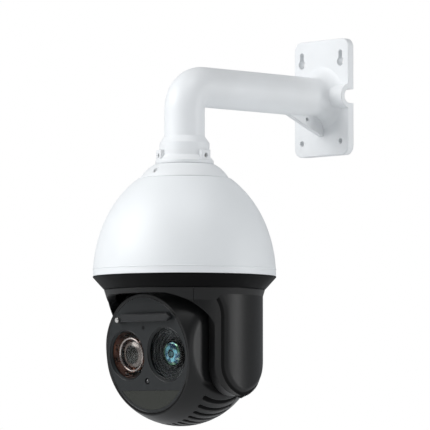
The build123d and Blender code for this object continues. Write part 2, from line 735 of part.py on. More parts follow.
def face_plate():
    front = -FACE_AHEAD
    back = front + FACE_THICKNESS
    plate = disc_y(FACE_R, front, back)
    for x, radius in ((LENS_X, LENS_OPENING_R), (LAMP_X, LAMP_OPENING_R)):
        plate -= disc_y(radius - 2.5, front - 1, back + 1, x)
        cone = Cone(radius - 2.5, radius, 3.0)
        plate -= Pos(x, front + 1.5, 0) * FORWARD * cone
    plate -= disc_y(4, front - 1, back + 1, *SENSOR_PLACE)
    plate -= disc_y(1.8, front - 1, back + 1, *SCREW_PLACE)
    plate -= disc_y(2.8, front - 1, front + 1.4, *SCREW_PLACE)
    plate -= disc_y(WIPER_SHAFT_R + GAP, front - 1, back + 1, WIPER_X, WIPER_Z)
    plate -= lower_panel(0, FACE_AHEAD - 2, FACE_AHEAD + 1)
    return BALL * plate


def lower_window():
    return BALL * lower_panel(0.25, FACE_AHEAD - 1.95, FACE_AHEAD - 0.3)


def light_sensor():
    lens = Pos(SENSOR_PLACE[0], -FACE_AHEAD + 3, SENSOR_PLACE[1]) * Sphere(3.2)
    stem = disc_y(3.6, -FACE_AHEAD + 3, -FACE_AHEAD + 12, *SENSOR_PLACE)
    return BALL * (lens + stem)


def face_screw():
    head = disc_y(2.6, -FACE_AHEAD + 0.3, -FACE_AHEAD + 1.35, *SCREW_PLACE)
    head += disc_y(1.6, -FACE_AHEAD + 1, -FACE_AHEAD + 9, *SCREW_PLACE)
    head -= disc_y(1.0, -FACE_AHEAD - 1, -FACE_AHEAD + 0.9, *SCREW_PLACE)
    return BALL * head


def window_pane(x, radius):
    low = -FACE_AHEAD + FACE_THICKNESS + 0.1
    return BALL * disc_y(radius, low, low + 2, x)


def stepped_cone(x, rings):
    """Stepped funnel about an optical axis: (outer radius, bore radius, front, back) each."""
    steps = [tube_y(outer, bore, front, back, x) for outer, bore, front, back in rings]
    body = steps[0]
    for step in steps[1:]:
        body += step
    return body


LENS_HOOD_FRONT = -51.5
FRONT_LENS_R = 15.3


def lens_hood():
    rings = []
    bore = 31.0
    front = LENS_HOOD_FRONT
    for index in range(5):
        rings.append((32.5 if index == 0 else bore + 3.4, bore, front, front + 2.6))
        front += 2.2
        bore -= 3.0
    return BALL * stepped_cone(LENS_X, rings)


def front_element():
    """Front lens: a shallow dome on a disc, its rim held by the barrel."""
    dome = Pos(LENS_X, -18, 0) * Sphere(26)
    return BALL * (dome & disc_y(FRONT_LENS_R, -46, -36, LENS_X))


def lens_barrel():
    barrel = tube_y(22, 19, -39.5, 24, LENS_X)
    barrel += tube_y(18.8, FRONT_LENS_R + 0.1, -41, -36, LENS_X) + tube_y(22, 18, -39.5, -38, LENS_X)
    barrel += tube_y(24, 19, 18, 24, LENS_X)
    return BALL * barrel


def lens_group(middle, thickness, glass_r):
    """Sliding lens cell about the optical axis, with its lens."""
    cell = tube_y(18.6, glass_r, middle - thickness / 2, middle + thickness / 2, LENS_X)
    glass = disc_y(glass_r + 0.5, middle - 1.8, middle + 1.8, LENS_X)
    return BALL * (cell + glass)


def sensor_board():
    board = block((LENS_X - 20, LENS_X + 20), (24.2, 25.8), (-20, 20))
    board += block((LENS_X - 6, LENS_X + 6), (22, 24.5), (-5, 5))
    return BALL * board


def image_board():
    board = block((-46, 46), (44, 45.6), (-34, 34))
    board += block((-14, 14), (41, 44.5), (-14, 14))
    board += block((24, 36), (41.5, 44.5), (8, 26))
    return BALL * board


def lamp_reflector():
    outside = [(30.8, 0), (31.6, 0), (31.6, 1.2), (25.2, 15), (24, 15)]
    bowl = spin(outside)
    return BALL * (Pos(LAMP_X, -51.6, 0) * Rot(-90, 0, 0) * bowl)


LAMP_LENS_BACK = -41.0


def lamp_lens():
    dome = Pos(LAMP_X, LAMP_LENS_BACK + 24, 0) * Sphere(34)
    return BALL * (dome & disc_y(21.5, LAMP_LENS_BACK - 12, LAMP_LENS_BACK, LAMP_X))


def lamp_tube():
    tube = tube_y(25, 22, -36.4, 2, LAMP_X)
    tube += tube_y(23, 21.6, LAMP_LENS_BACK - 4, -36, LAMP_X)
    tube += disc_y(25, 2, 5, LAMP_X)
    return BALL * tube


def lamp_emitter():
    return BALL * (disc_y(12, -1, 1.9, LAMP_X) + block((LAMP_X - 4, LAMP_X + 4), (-3, 0), (-4, 4)))


def wiper_motor():
    body = disc_y(8, -FACE_AHEAD + 8, -FACE_AHEAD + 30, WIPER_X, WIPER_Z)
    body -= disc_y(WIPER_SHAFT_R + FIT, -FACE_AHEAD, -FACE_AHEAD + 15, WIPER_X, WIPER_Z)
    return BALL * body


def right_trunnion():
    flange = disc_x(15, BALL_FLAT_X + 0.05, BALL_FLAT_X + 2)
    return flange + disc_x(SHAFT_R, BALL_FLAT_X - 5, 84.9) - disc_x(4, 60, 100)


def tilt_trunnions():
    right = right_trunnion() + disc_x(SHAFT_R - 2, 84, BELT_X + BELT_WIDTH) - disc_x(4, 60, 100)
    return BALL * Compound(children=[right, mirrored(right_trunnion())])


def tilt_pulley():
    at = Pos(BELT_X, 0, 0) * Rot(0, 90, 0)
    return BALL * at * pulley(TILT_PULLEY_R - 0.6, BELT_WIDTH, SHAFT_R - 2)


# ---- wiper, parked level above the two openings ----
WIPER_BACK = FACE_AHEAD + 3.0
WIPER_FRONT = FACE_AHEAD + 8.5
WIPER_HALF = 5.0
WIPER_TIP_X = WIPER_X + WIPER_REACH


def wiper_arm():
    start = WIPER_X + 6
    shoulder = WIPER_TIP_X - 6
    middle = WIPER_Z + 2
    low, high = middle - WIPER_HALF, middle + WIPER_HALF
    outline = Polyline((start, low), (shoulder, low), (WIPER_TIP_X, middle), (shoulder, high),
                       (start, high), close=True)
    bar = Pos(0, -WIPER_BACK, 0) * extrude(Plane.XZ * make_face(outline), WIPER_FRONT - WIPER_BACK)
    bar = chamfer(bar.faces().sort_by(Axis.Y)[0].edges(), 1.6)
    hub = disc_y(5, -WIPER_FRONT + 2, -WIPER_BACK + 1, WIPER_X, WIPER_Z)
    hub += block((WIPER_X, WIPER_X + 10), (-WIPER_FRONT + 2.5, -WIPER_BACK), (WIPER_Z - 2.5, WIPER_Z + 5))
    shaft = disc_y(WIPER_SHAFT_R, -WIPER_BACK - 1, -FACE_AHEAD + 14, WIPER_X, WIPER_Z)
    return BALL * (bar + hub + shaft)


def wiper_blade():
    blade = block((WIPER_X + 10, WIPER_TIP_X - 7), (-WIPER_BACK + 0.05, -FACE_AHEAD - 0.4),
                  (WIPER_Z + 1, WIPER_Z + 3))
    return BALL * blade


def wiper_nut():
    nut = disc_y(3.2, -WIPER_FRONT - 1.2, -WIPER_FRONT + 1.95, WIPER_X, WIPER_Z)
    return BALL * chamfer(nut.faces().sort_by(Axis.Y)[0].edges(), 0.8)


# ---- write every piece ----
save("wall_bracket", wall_bracket())
save("bracket_set_screws", bracket_set_screws())
save("neck_adapter", neck_adapter())
save("neck_cap", neck_cap())
save("cap_screws", cap_screws())
save("sunshield", sunshield())
save("inner_housing", inner_housing())
save("trim_ring", trim_ring())
save("base_frame", base_frame())
save("pan_bearing", pan_bearing())
save("pan_motor", pan_motor())
save("pan_motor_pulley", pan_motor_pulley())
save("pan_belt", pan_belt())
save("board_standoffs", board_standoffs())
save("main_board", main_board())
save("power_board", power_board())
save("slip_ring_stator", slip_ring_stator())

save("turntable", turntable())
save("pan_pulley", pan_pulley())
save("slip_ring_rotor", slip_ring_rotor())
save("front_arch", front_arch())
save("rear_shell", rear_shell())
for side, turn in (("right", lambda shape: shape), ("left", mirrored)):
    save(f"{side}_arm_shell", PAN * turn(right_arm_shell()))
    save(f"{side}_side_cover", PAN * turn(right_side_cover()))
    save(f"{side}_arm_bracket", PAN * turn(right_arm_bracket()))
save("tilt_bearings", PAN * Compound(children=[right_tilt_bearing(), mirrored(right_tilt_bearing())]))
save("tilt_motor", tilt_motor())
save("tilt_motor_pulley", tilt_motor_pulley())
save("tilt_belt", tilt_belt())
save("yoke_board", yoke_board())
save("yoke_screws", yoke_screws())

save("module_front", module_front())
save("module_rear", module_rear())
save("module_gasket", module_gasket())
save("face_plate", face_plate())
save("lower_window", lower_window())
save("light_sensor", light_sensor())
save("face_screw", face_screw())
save("lens_window", window_pane(LENS_X, 32.5))
save("lamp_window", window_pane(LAMP_X, 31.5))
save("lens_hood", lens_hood())
save("front_element", front_element())
save("lens_barrel", lens_barrel())
save("zoom_group", lens_group(-22, 9, 13))
save("focus_group", lens_group(6, 7, 11))
save("sensor_board", sensor_board())
save("image_board", image_board())
save("lamp_reflector", lamp_reflector())
save("lamp_lens", lamp_lens())
save("lamp_tube", lamp_tube())
save("lamp_emitter", lamp_emitter())
save("wiper_motor", wiper_motor())
save("tilt_trunnions", tilt_trunnions())
save("tilt_pulley", tilt_pulley())
save("wiper_arm", wiper_arm())
save("wiper_blade", wiper_blade())
save("wiper_nut", wiper_nut())
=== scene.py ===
"""Looks of a PTZ dome camera on its wall bracket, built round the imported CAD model."""

import json
import math

import bmesh
import bpy
import numpy as np
from mathutils import Matrix, Vector


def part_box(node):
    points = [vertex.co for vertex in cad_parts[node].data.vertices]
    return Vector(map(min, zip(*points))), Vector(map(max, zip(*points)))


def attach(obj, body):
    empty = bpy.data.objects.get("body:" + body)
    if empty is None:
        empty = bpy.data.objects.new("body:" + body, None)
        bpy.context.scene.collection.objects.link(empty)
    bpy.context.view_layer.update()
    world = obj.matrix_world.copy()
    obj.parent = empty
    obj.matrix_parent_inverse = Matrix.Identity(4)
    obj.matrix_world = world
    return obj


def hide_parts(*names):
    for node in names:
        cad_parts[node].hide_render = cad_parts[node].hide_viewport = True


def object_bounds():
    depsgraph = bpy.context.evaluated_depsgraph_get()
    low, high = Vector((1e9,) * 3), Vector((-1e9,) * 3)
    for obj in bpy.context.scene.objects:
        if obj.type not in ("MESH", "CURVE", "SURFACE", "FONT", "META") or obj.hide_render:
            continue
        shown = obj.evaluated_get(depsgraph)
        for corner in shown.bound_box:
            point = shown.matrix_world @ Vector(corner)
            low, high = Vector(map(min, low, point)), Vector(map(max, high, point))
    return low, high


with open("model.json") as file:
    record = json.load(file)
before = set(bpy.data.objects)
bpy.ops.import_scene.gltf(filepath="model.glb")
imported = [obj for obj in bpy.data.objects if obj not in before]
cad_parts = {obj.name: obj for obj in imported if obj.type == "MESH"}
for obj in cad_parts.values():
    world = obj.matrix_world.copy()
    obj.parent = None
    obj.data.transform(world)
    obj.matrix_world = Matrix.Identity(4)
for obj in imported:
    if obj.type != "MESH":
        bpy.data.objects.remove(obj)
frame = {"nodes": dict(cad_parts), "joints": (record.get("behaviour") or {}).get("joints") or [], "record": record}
NODES = frame["nodes"]
cad_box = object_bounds()

MM = 0.001


# ---- places worked out from the frame ----


def joint(name):
    return next(j for j in frame["joints"] if j["name"] == name)


def centre(node):
    low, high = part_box(node)
    return (low + high) / 2


PAN_Y = centre("trim_ring").y
PAN_AXIS = Vector((0, PAN_Y, 0))
RIM_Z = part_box("trim_ring")[1].z


# ---- camera, lights and floor ----

VIEW_AZIMUTH = math.radians(46.0)
VIEW_ELEVATION = math.radians(-3.5)
VIEW_DISTANCE = 4.5
VIEW_WIDTH = 0.5405  # metres across the picture at the target
SENSOR = 36.0
CLEAR_BELOW = 0.16  # metres from the object's lowest point to the floor
FLOOR_HALF = 6.0
ROOM_STRENGTH = 0.28
VIEW_RIGHT = Vector((math.cos(VIEW_AZIMUTH), math.sin(VIEW_AZIMUTH), 0))
TARGET_RIGHT = 0.0383  # of the pan axis, metres
TARGET_HEIGHT = -0.1634
VIEW_TARGET = PAN_AXIS + VIEW_RIGHT * TARGET_RIGHT + Vector((0, 0, TARGET_HEIGHT))


def direction(azimuth, elevation):
    """Unit vector from the object towards a viewer at that azimuth and elevation, in radians."""
    flat = math.cos(elevation)
    return Vector((math.sin(azimuth) * flat, -math.cos(azimuth) * flat, math.sin(elevation)))


def aim(obj, place, target):
    obj.location = place
    obj.rotation_euler = (target - place).to_track_quat("-Z", "Y").to_euler()


def link(obj):
    bpy.context.scene.collection.objects.link(obj)
    return obj


def make_camera():
    data = bpy.data.cameras.new("photo_camera")
    data.sensor_width = SENSOR
    data.lens = SENSOR * VIEW_DISTANCE / VIEW_WIDTH
    data.clip_end = 50
    camera = link(bpy.data.objects.new("photo_camera", data))
    aim(camera, VIEW_TARGET + direction(VIEW_AZIMUTH, VIEW_ELEVATION) * VIEW_DISTANCE, VIEW_TARGET)
    bpy.context.scene.camera = camera


def softbox(name, turn, elevation, distance, width, height, power):
    """Area light, turned so many degrees to the right of the camera."""
    data = bpy.data.lights.new(name, "AREA")
    data.shape = "RECTANGLE"
    data.size = width
    data.size_y = height
    data.energy = power
    light = link(bpy.data.objects.new(name, data))
    place = direction(VIEW_AZIMUTH + math.radians(turn), math.radians(elevation)) * distance
    aim(light, VIEW_TARGET + place, VIEW_TARGET)


def make_lights():
    softbox("key", -72, 30, 2.4, 1.7, 1.5, 44)
    softbox("fill", 20, 62, 3.0, 1.8, 1.2, 20)
    softbox("right_strip", 80, 0, 1.7, 0.42, 1.3, 8)
    softbox("right_fill", 48, -4, 2.2, 0.5, 1.3, 2.6)
    softbox("low_left", -40, -32, 2.0, 0.5, 0.4, 2.5)
    softbox("low_right", 30, -42, 2.0, 0.9, 0.5, 4)


def make_world():
    """White to the camera, a softer grey as a light."""
    world = bpy.data.worlds.new("studio")
    bpy.context.scene.world = world
    world.use_nodes = True
    tree = world.node_tree
    tree.nodes.clear()
    output = tree.nodes.new("ShaderNodeOutputWorld")
    mix = tree.nodes.new("ShaderNodeMixShader")
    path = tree.nodes.new("ShaderNodeLightPath")
    room = tree.nodes.new("ShaderNodeBackground")
    backdrop = tree.nodes.new("ShaderNodeBackground")
    room.inputs["Color"].default_value = (0.93, 0.96, 1.0, 1)
    room.inputs["Strength"].default_value = ROOM_STRENGTH
    backdrop.inputs["Color"].default_value = (1, 1, 1, 1)
    backdrop.inputs["Strength"].default_value = 1.0
    tree.links.new(path.outputs["Is Camera Ray"], mix.inputs["Fac"])
    tree.links.new(room.outputs["Background"], mix.inputs[1])
    tree.links.new(backdrop.outputs["Background"], mix.inputs[2])
    tree.links.new(mix.outputs["Shader"], output.inputs["Surface"])
    bpy.context.scene.view_settings.view_transform = "Standard"


def make_floor():
    """Pale floor with a faint glow, so that it stays pale far from the lights."""
    drop = cad_box[0][2] - CLEAR_BELOW
    mesh = bpy.data.meshes.new("floor")
    corners = [(x * FLOOR_HALF, y * FLOOR_HALF, drop) for x, y in ((-1, -1), (1, -1), (1, 1), (-1, 1))]
    mesh.from_pydata(corners, [], [(0, 1, 2, 3)])
    floor = link(bpy.data.objects.new("floor", mesh))
    material = Material("floor_paint", (0.86, 0.87, 0.88), 0.6, Emission_Strength=0.09)
    material.shader.inputs["Emission Color"].default_value = (1, 1, 1, 1)
    material.rough_noise(6, 0.5, 0.7)
    material.bump(120, 0.02, 0.2)
    mesh.materials.append(material.data)


# ---- material building ----


class Material:
    """A Principled material with helpers that add procedural detail in millimetre scale."""

    def __init__(self, name, colour, roughness, metallic=0.0, **sockets):
        self.data = bpy.data.materials.new(name)
        self.data.use_nodes = True
        self.tree = self.data.node_tree
        self.shader = self.tree.nodes["Principled BSDF"]
        self.colour = (*colour, 1)
        self.shader.inputs["Base Color"].default_value = self.colour
        self.shader.inputs["Roughness"].default_value = roughness
        self.shader.inputs["Metallic"].default_value = metallic
        for socket, value in sockets.items():
            self.shader.inputs[socket.replace("_", " ")].default_value = value
        self.places = self.node("ShaderNodeTexCoord").outputs["Object"]
        self.normal = None

    def node(self, kind, **settings):
        made = self.tree.nodes.new(kind)
        for key, value in settings.items():
            setattr(made, key, value)
        return made

    def join(self, source, target):
        self.tree.links.new(source, target)

    def noise(self, scale, detail=3.0, stretch=(1, 1, 1)):
        """Noise with so many features a metre."""
        texture = self.node("ShaderNodeTexNoise")
        texture.inputs["Scale"].default_value = scale
        texture.inputs["Detail"].default_value = detail
        mapping = self.node("ShaderNodeMapping")
        mapping.inputs["Scale"].default_value = stretch
        self.join(self.places, mapping.inputs["Vector"])
        self.join(mapping.outputs["Vector"], texture.inputs["Vector"])
        return texture.outputs["Fac"]

    def ranged(self, value, low, high, start=0.3, end=0.7):
        """Maps a 0 to 1 value's middle part to a range."""
        node = self.node("ShaderNodeMapRange")
        node.inputs["From Min"].default_value = start
        node.inputs["From Max"].default_value = end
        node.inputs["To Min"].default_value = low
        node.inputs["To Max"].default_value = high
        self.join(value, node.inputs["Value"])
        return node.outputs["Result"]

    def rough_noise(self, scale, low, high, detail=4.0):
        self.join(self.ranged(self.noise(scale, detail), low, high), self.shader.inputs["Roughness"])
        return self

    def tint(self, mask, colour):
        """Blends another colour in where the mask is 1."""
        mix = self.node("ShaderNodeMix", data_type="RGBA")
        socket = self.shader.inputs["Base Color"]
        if socket.is_linked:
            self.join(socket.links[0].from_socket, mix.inputs["A"])
        else:
            mix.inputs["A"].default_value = self.colour
        mix.inputs["B"].default_value = (*colour, 1)
        self.join(mask, mix.inputs["Factor"])
        self.join(mix.outputs["Result"], socket)
        return self

    def mottle(self, scale, colour, strength, detail=4.0):
        """Soft patches of another colour, up to that strength."""
        return self.tint(self.ranged(self.noise(scale, detail), 0, strength, 0.4, 0.7), colour)

    def bump_from(self, height, distance, strength=1.0):
        """Adds a height, in metres at 1, to the surface's normal."""
        bump = self.node("ShaderNodeBump")
        bump.inputs["Distance"].default_value = distance
        bump.inputs["Strength"].default_value = strength
        self.join(height, bump.inputs["Height"])
        if self.normal is not None:
            self.join(self.normal, bump.inputs["Normal"])
        self.normal = bump.outputs["Normal"]
        self.join(self.normal, self.shader.inputs["Normal"])
        return self

    def bump(self, scale, distance_mm, strength=1.0, detail=3.0):
        return self.bump_from(self.noise(scale, detail), distance_mm * MM, strength)

    def soft_edges(self, radius_mm):
        """Rounds the shading of sharp edges; call it before any bump."""
        bevel = self.node("ShaderNodeBevel", samples=4)
        bevel.inputs["Radius"].default_value = radius_mm * MM
        self.normal = bevel.outputs["Normal"]
        self.join(self.normal, self.shader.inputs["Normal"])
        return self


# Near black painted into slots and grooves as painted shade.
PAINTED_SHADE_BLACK = (0.0005, 0.0005, 0.0005)


def white_cast():
    """Powder-coated cast aluminium: fine orange peel, faint grime."""
    m = Material("white_cast", (0.84, 0.86, 0.875), 0.46)
    m.soft_edges(1.2)
    m.rough_noise(35, 0.36, 0.5)
    m.mottle(9, (0.70, 0.71, 0.71), 0.35)
    m.bump(420, 0.05, 0.35)
    m.bump(1800, 0.02, 0.25)
    return m


def white_shell():
    """Painted sunshield, smooth satin."""
    m = Material("white_shell", (0.84, 0.865, 0.88), 0.44)
    m.soft_edges(0.5)
    m.rough_noise(22, 0.4, 0.5)
    m.mottle(7, (0.72, 0.735, 0.74), 0.25)
    m.bump(1500, 0.012, 0.3)
    return m


def trim_black():
    """Matt black moulded ring under the sunshield."""
    m = Material("trim_black", (0.002, 0.002, 0.0022), 0.5, Specular_IOR_Level=0.08)
    m.soft_edges(0.8)
    m.rough_noise(30, 0.44, 0.56)
    m.bump(2200, 0.02, 0.4)
    return m


def black_shell():
    m = Material("black_shell", (0.005, 0.0052, 0.0054), 0.36, Specular_IOR_Level=0.3)
    m.soft_edges(1.3)
    m.rough_noise(30, 0.32, 0.42)
    m.mottle(14, (0.009, 0.009, 0.0085), 0.5)
    m.bump(2200, 0.02, 0.4)
    return m


def face_black():
    m = Material("face_black", (0.014, 0.016, 0.017), 0.42, Specular_IOR_Level=0.3)
    m.soft_edges(0.4)
    m.rough_noise(40, 0.36, 0.48)
    m.bump(1800, 0.015, 0.3)
    return m


def inner_black():
    m = Material("inner_black", (0.004, 0.004, 0.0045), 0.5, Specular_IOR_Level=0.3)
    m.soft_edges(0.3)
    m.rough_noise(50, 0.42, 0.6)
    m.bump(1500, 0.01, 0.3)
    return m


def rubber_black():
    m = Material("rubber_black", (0.012, 0.012, 0.012), 0.7)
    m.rough_noise(60, 0.6, 0.8)
    m.bump(1200, 0.02, 0.4)
    return m


def wiper_plastic():
    m = Material("wiper_plastic", (0.013, 0.014, 0.015), 0.5, Specular_IOR_Level=0.4)
    m.soft_edges(0.3)
    m.rough_noise(60, 0.42, 0.58)
    m.bump(2500, 0.015, 0.4)
    return m


def steel():
    m = Material("steel", (0.62, 0.61, 0.59), 0.28, 1.0)
    m.soft_edges(0.2)
    m.rough_noise(400, 0.2, 0.38)
    m.bump(3000, 0.005, 0.3)
    return m


def cast_aluminium():
    m = Material("cast_aluminium", (0.48, 0.49, 0.5), 0.5, 0.9)
    m.soft_edges(0.4)
    m.rough_noise(120, 0.42, 0.6)
    m.bump(900, 0.04, 0.4)
    return m


def pulley_aluminium():
    m = Material("pulley_aluminium", (0.6, 0.6, 0.61), 0.34, 1.0)
    m.soft_edges(0.2)
    m.rough_noise(200, 0.28, 0.42)
    m.bump(1500, 0.01, 0.3)
    return m


def motor_black():
    m = Material("motor_black", (0.02, 0.02, 0.021), 0.45, 0.3)
    m.rough_noise(100, 0.38, 0.55)
    m.bump(1500, 0.02, 0.3)
    return m


def board_green():
    m = Material("board_green", (0.01, 0.09, 0.04), 0.4, Coat_Weight=0.3)
    m.mottle(300, (0.02, 0.16, 0.07), 0.6)
    m.rough_noise(300, 0.32, 0.5)
    m.bump(900, 0.02, 0.4)
    return m


def window_glass():
    """Coated front windows that hardly reflect."""
    m = Material("window_glass", (0.93, 0.95, 0.95), 0.02, Transmission_Weight=1.0, IOR=1.12)
    m.rough_noise(40, 0.0, 0.03)
    return m


def lens_glass():
    """Dark front lens with a blue painted sheen by facing angle, strongest towards its rim, and random green
    patches of coating.
    """
    m = Material("lens_glass", (0.004, 0.008, 0.012), 0.05, Specular_IOR_Level=0.35)
    m.rough_noise(60, 0.03, 0.08)
    # Painted sheen: blue tint where the surface turns away from the view.
    facing = m.node("ShaderNodeLayerWeight")
    facing.inputs["Blend"].default_value = 0.35
    m.tint(m.ranged(facing.outputs["Facing"], 0, 0.5, 0.1, 0.6), (0.01, 0.09, 0.14))
    m.tint(m.ranged(m.noise(90, 2), 0, 0.5, 0.5, 0.65), (0.02, 0.12, 0.06))
    return m


def dark_window():
    """Olive tinted panel over the infrared array."""
    m = Material("dark_window", (0.019, 0.021, 0.016), 0.24, Specular_IOR_Level=0.3)
    m.rough_noise(60, 0.2, 0.3)
    m.mottle(30, (0.026, 0.028, 0.021), 0.4)
    return m


def lamp_copper():
    """Tinted metallised reflector, rippled like pressed sheet."""
    m = Material("lamp_copper", (0.24, 0.11, 0.075), 0.3, 0.85)
    m.rough_noise(80, 0.22, 0.4)
    m.mottle(150, (0.05, 0.03, 0.025), 0.7)
    m.bump(500, 0.03, 0.4)
    return m


def emitter():
    m = Material("emitter", (0.3, 0.28, 0.16), 0.4)
    m.mottle(600, (0.5, 0.45, 0.2), 0.7)
    m.bump(1500, 0.02, 0.3)
    return m


def sensor_lens():
    m = Material("sensor_lens", (0.01, 0.01, 0.012), 0.08, Coat_Weight=1.0)
    m.rough_noise(200, 0.05, 0.12)
    return m


MATERIALS = (white_cast, white_shell, black_shell, face_black, inner_black, rubber_black,
             wiper_plastic, steel, cast_aluminium, pulley_aluminium, motor_black, board_green,
             window_glass, lens_glass, dark_window, lamp_copper, emitter, sensor_lens)


def dress_nodes():
    """Gives every CAD node its slot's material."""
    made = {make.__name__: make().data for make in MATERIALS}
    for part in frame["record"]["subparts"]:
        node = NODES[part["node"]]
        if not node.material_slots:
            node.data.materials.append(None)
        for slot in node.material_slots:
            slot.link = "OBJECT"
            slot.material = made[part["material_slot"]]
    return made


# ---- mesh building ----


def finish_mesh(name, mesh, material, body, sharp_degrees=38):
    """Smooth shading that stays sharp at steep edges, a finish and a body to ride."""
    bm = bmesh.new()
    bm.from_mesh(mesh)
    bmesh.ops.remove_doubles(bm, verts=bm.verts, dist=1e-6)
    bmesh.ops.recalc_face_normals(bm, faces=bm.faces)
    for face in bm.faces:
        face.smooth = True
    for edge in bm.edges:
        edge.smooth = edge.calc_face_angle(math.pi) < math.radians(sharp_degrees)
    bm.to_mesh(mesh)
    bm.free()
    piece = link(bpy.data.objects.new(name, mesh))
    mesh.materials.append(material)
    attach(piece, body)
    return piece


def lathe(name, profile, place, material, body, steps=128):
    """Turned piece: a closed outline of (radius, height) in millimetres about the place's Z axis."""
    vertices = []
    for step in range(steps):
        turn = 2 * math.pi * step / steps
        for radius, height in profile:
            point = Vector((radius * math.cos(turn), radius * math.sin(turn), height)) * MM
            vertices.append(place @ point)
    count = len(profile)
    faces = []
    for step in range(steps):
        after = (step + 1) % steps
        for index in range(count):
            following = (index + 1) % count
            faces.append((step * count + index, step * count + following,
                          after * count + following, after * count + index))
    mesh = bpy.data.meshes.new(name)
    mesh.from_pydata(vertices, [], faces)
    return finish_mesh(name, mesh, material, body)


def bead(radius, height, thickness, points=10):
    """Outline of a round bead for lathe."""
    turns = [2 * math.pi * index / points for index in range(points)]
    return [(radius + thickness * math.cos(t), height + thickness * math.sin(t)) for t in turns]


# ---- the camera module's face ----

REST_TILT = math.radians(7.0)
FACE_AHEAD = 58.0
BALL_R = 95.5
BALL = Matrix.Translation(Vector(joint("tilt")["pos_m"])) @ Matrix.Rotation(REST_TILT, 4, "X")
TURN_FORWARD = Matrix.Rotation(math.pi / 2, 4, "X")
LENS_X = 34.0
LENS_OPENING_R = 34.5
LAMP_X = -37.5
LAMP_OPENING_R = 32.0
FACE_R = 71.6
LENS_FRONT = 49.5  # the front lens ahead of the tilt axis
FRONT_LENS_R = 15.35
LENS_CROWN = 3.4
THREAD_PITCH = 0.35
LAMP_COLLAR_R = 20.4
LAMP_COLLAR_AHEAD = 49.6


def on_face(x, z):
    """Frame whose Z axis is the optical axis through a point of the face."""
    return BALL @ Matrix.Translation(Vector((x, 0, z)) * MM) @ TURN_FORWARD


def radial(material, x, z):
    """Distance in metres from the optical axis through a point of the face, as a shader value."""
    axis = on_face(x, z)
    mapping = material.node("ShaderNodeMapping", vector_type="POINT")
    back = axis.inverted()
    mapping.inputs["Location"].default_value = back.to_translation()
    mapping.inputs["Rotation"].default_value = back.to_euler()
    flat = material.node("ShaderNodeVectorMath", operation="MULTIPLY")
    flat.inputs[1].default_value = (1, 1, 0)
    length = material.node("ShaderNodeVectorMath", operation="LENGTH")
    material.join(material.places, mapping.inputs["Vector"])
    material.join(mapping.outputs["Vector"], flat.inputs[0])
    material.join(flat.outputs["Vector"], length.inputs[0])
    return length.outputs["Value"]


def band(material, value, inner_mm, outer_mm, soft_mm=0.6):
    """1 where the value lies between two radii, with soft edges."""
    rise = material.ranged(value, 0, 1, (inner_mm - soft_mm) * MM, inner_mm * MM)
    fall = material.ranged(value, 1, 0, outer_mm * MM, (outer_mm + soft_mm) * MM)
    product = material.node("ShaderNodeMath", operation="MULTIPLY")
    material.join(rise, product.inputs[0])
    material.join(fall, product.inputs[1])
    return product.outputs["Value"]


def lens_coat_and_painted_highlights():
    """Front lens: rings of coating colour, teal in the middle to green at the rim, that also stand in as painted
    reflections; a bright cyan ring is a painted highlight and pale flecks are painted glints.
    """
    m = Material("lens_coat_and_painted_highlights", (0.003, 0.006, 0.009), 0.08, 0.55)
    m.rough_noise(60, 0.05, 0.12)
    far = radial(m, LENS_X, 0)
    m.tint(band(m, far, 1.0, 3.0, 1.0), (0.03, 0.10, 0.11))
    # Painted highlight: the bright cyan ring.
    m.tint(band(m, far, 6.6, 10.0, 1.6), (0.20, 0.52, 0.62))
    m.tint(band(m, far, 12.4, 14.2, 0.8), (0.10, 0.26, 0.14))
    m.tint(m.ranged(m.noise(130, 2), 0, 0.85, 0.50, 0.60), (0.008, 0.03, 0.10))
    # Painted glints: pale flecks.
    m.tint(m.ranged(m.noise(210, 2), 0, 0.6, 0.58, 0.64), (0.45, 0.62, 0.50))
    m.bump(140, 0.25, 0.3, 1)
    return m


def lamp_glass():
    """Domed lamp lens, smoky, with its mount's bright ring painted on it, the ring's brightness a painted
    reflection.
    """
    m = Material("lamp_glass", (0.028, 0.026, 0.022), 0.12, 0.4)
    m.rough_noise(80, 0.08, 0.18)
    far = radial(m, LAMP_X, 0)
    # Painted reflection: the bright ring of the lamp's mount, drawn on the lens.
    m.tint(band(m, far, 12.6, 15.2, 1.6), (0.20, 0.165, 0.15))
    m.tint(band(m, far, 18.0, 30, 0.8), (0.11, 0.055, 0.04))
    m.bump(90, 0.3, 0.4, 1)
    return m


def collar_chrome():
    """Bright smoky ring that holds the lamp lens."""
    m = Material("collar_chrome", (0.52, 0.45, 0.42), 0.2, 0.9)
    m.rough_noise(120, 0.12, 0.3)
    m.mottle(70, (0.12, 0.08, 0.07), 0.9)
    m.bump(200, 0.05, 0.3)
    return m


def gloss_black():
    m = Material("gloss_black", (0.006, 0.006, 0.0065), 0.16)
    m.rough_noise(80, 0.12, 0.22)
    m.bump(700, 0.004, 0.2)
    return m


